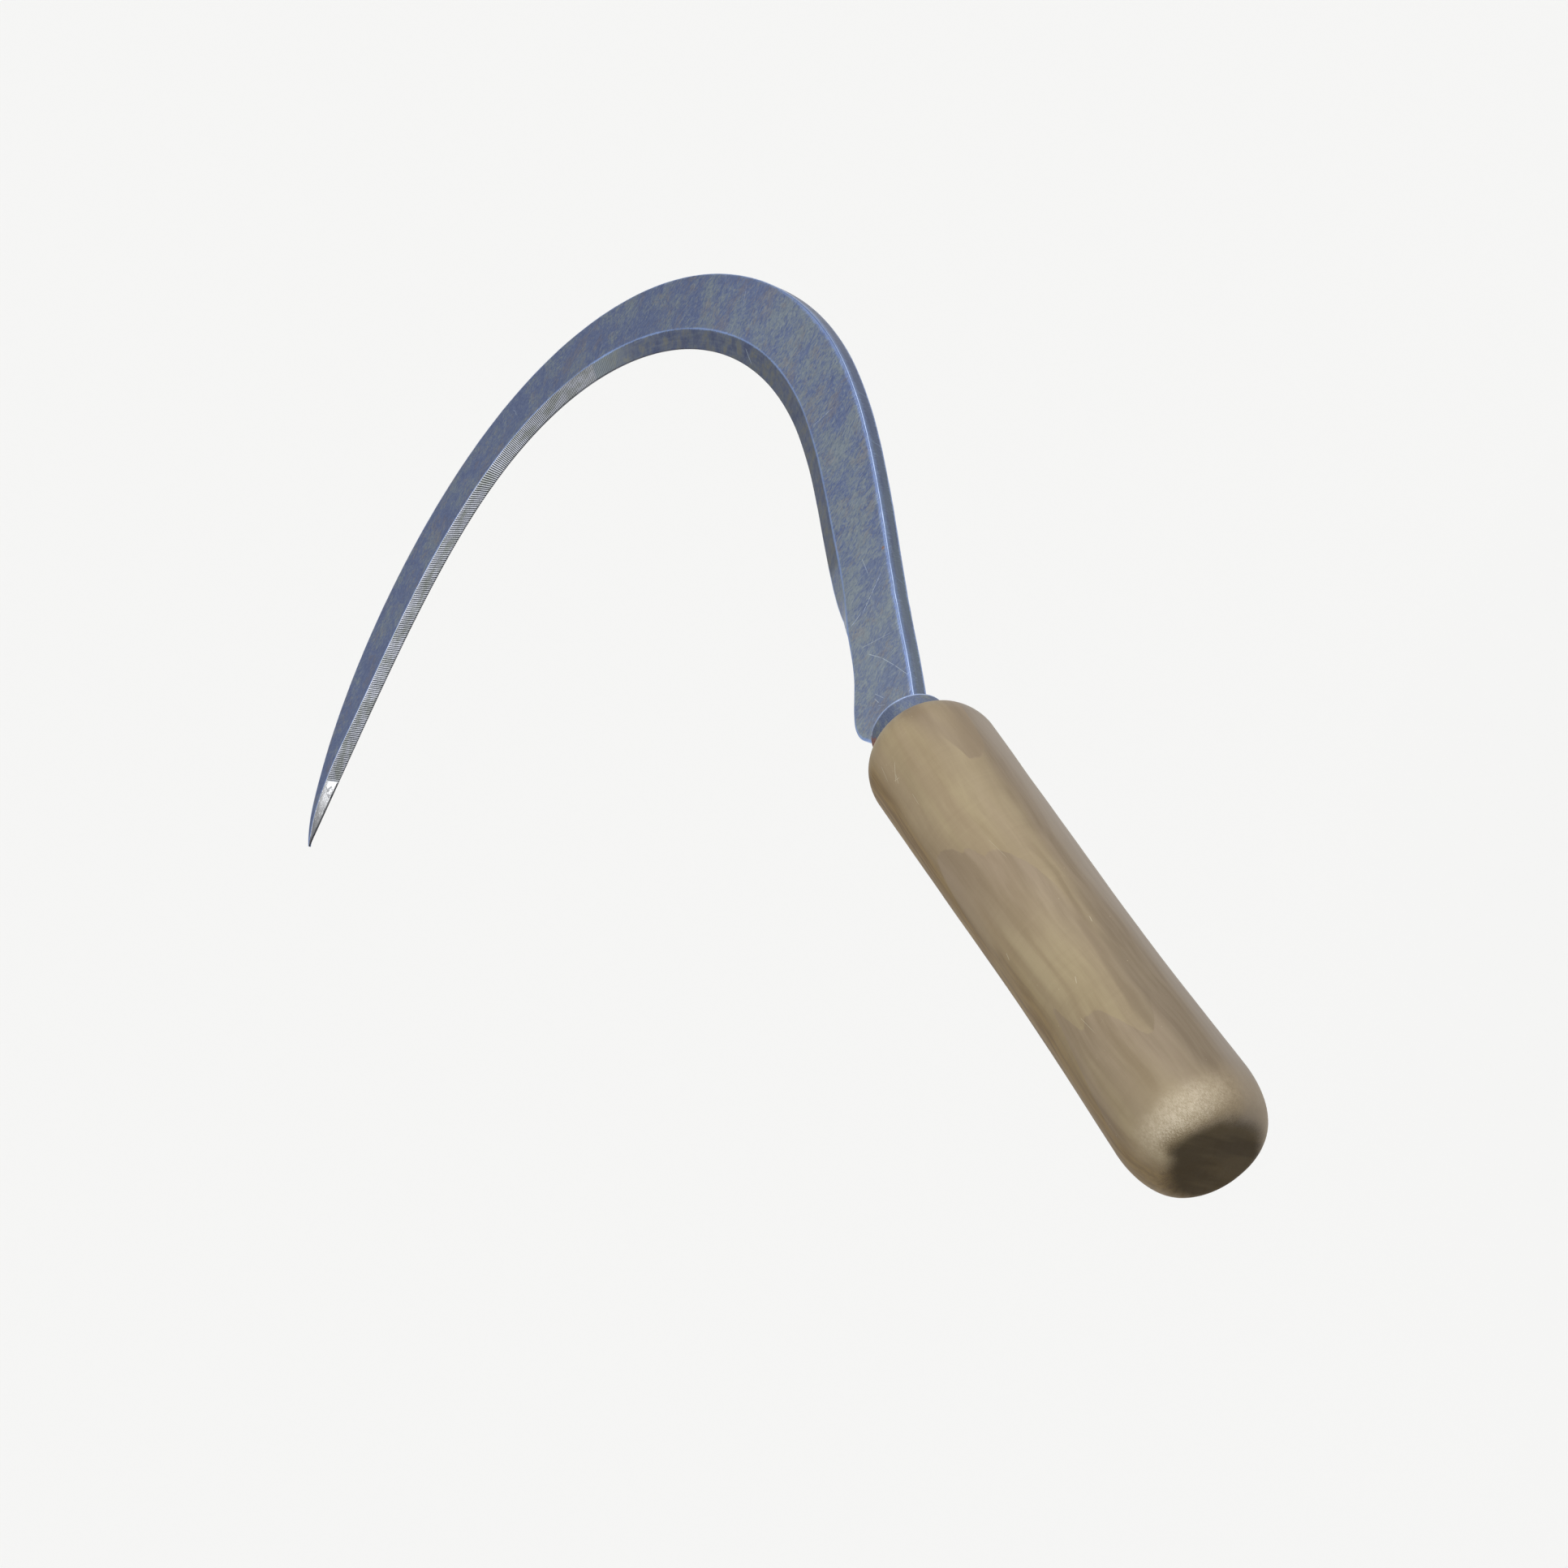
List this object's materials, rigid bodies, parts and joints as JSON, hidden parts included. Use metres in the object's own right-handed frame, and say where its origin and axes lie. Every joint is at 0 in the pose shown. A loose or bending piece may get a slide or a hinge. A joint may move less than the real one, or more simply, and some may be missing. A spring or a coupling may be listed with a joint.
{
  "type": "hand sickle",
  "caption": "Hook-bladed hand sickle: forged, bevelled and finely serrated blade with a tang, set in a turned wooden handle behind a steel ferrule.",
  "frame": {"origin": "centre of the flat butt face of the handle, on the handle's axis", "axes": "+X along the handle's axis from the butt towards the blade, +Y towards the point and the hook's inside, +Z square to the flat of the blade; the blade is centred on z = 0"},
  "size_m": [0.4439, 0.2911, 0.0338],
  "materials": {
    "blade_steel": "blued grey forge finish with olive mottling, bright worn edges",
    "ferrule_steel": "blued steel, worn on the rim",
    "handle_wood": "worn waxed hardwood, satin"
  },
  "bodies": {
    "root": {"blade_with_tang": "blade_steel", "ferrule": "ferrule_steel", "handle": "handle_wood"}
  },
  "joints": []
}
